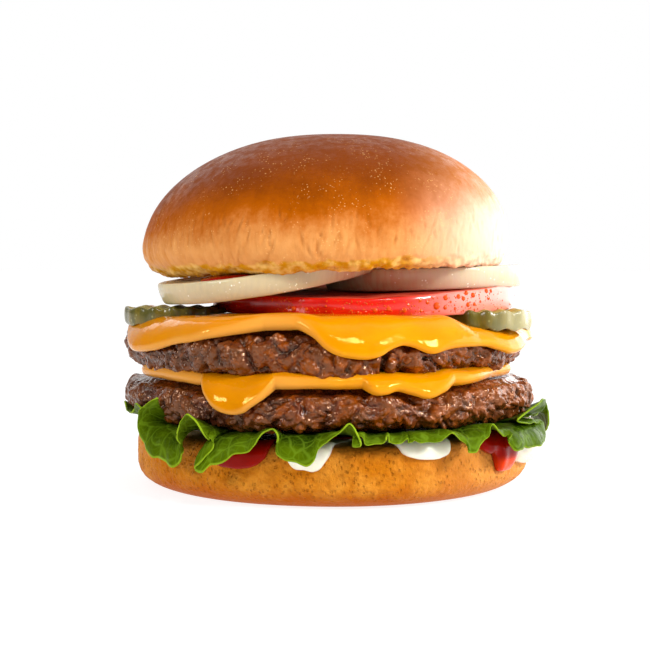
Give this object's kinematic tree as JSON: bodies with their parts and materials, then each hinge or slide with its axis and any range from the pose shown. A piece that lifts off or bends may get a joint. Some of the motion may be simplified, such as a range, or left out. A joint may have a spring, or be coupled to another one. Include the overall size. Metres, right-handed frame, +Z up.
{
  "type": "double cheeseburger",
  "caption": "Burger in a plain round bun with stacked beef patties and melted cheese slices, pickle, tomato and onion slices, frilly lettuce, ketchup and mayonnaise.",
  "frame": {"origin": "on the surface the burger stands on, under the middle of its box", "axes": "+Z up through the bun, -Y towards the front that shows most of the fillings, +X to the right seen from there"},
  "size_m": [0.12, 0.1183, 0.0971],
  "materials": {
    "bread": "soft baked crust, satin",
    "mayonnaise": "thick, wet and creamy",
    "ketchup": "thick, wet and glossy",
    "lettuce": "crisp leaf with a waxy sheen",
    "beef": "rough fried mince, moist",
    "cheese": "melted, smooth and glossy",
    "pickle": "wet, crinkle cut",
    "tomato": "wet skin and flesh",
    "onion": "raw, crisp and slightly translucent"
  },
  "bodies": {
    "root": {"bottom_bun": "bread", "mayonnaise": "mayonnaise", "ketchup": "ketchup", "lettuce_front": "lettuce", "lettuce_back": "lettuce", "lower_patty": "beef", "lower_cheese": "cheese", "upper_patty": "beef", "upper_cheese": "cheese", "pickle_left": "pickle", "pickle_right": "pickle", "tomato_slice": "tomato", "onion_right": "onion", "onion_left": "onion", "top_bun": "bread"}
  },
  "joints": []
}
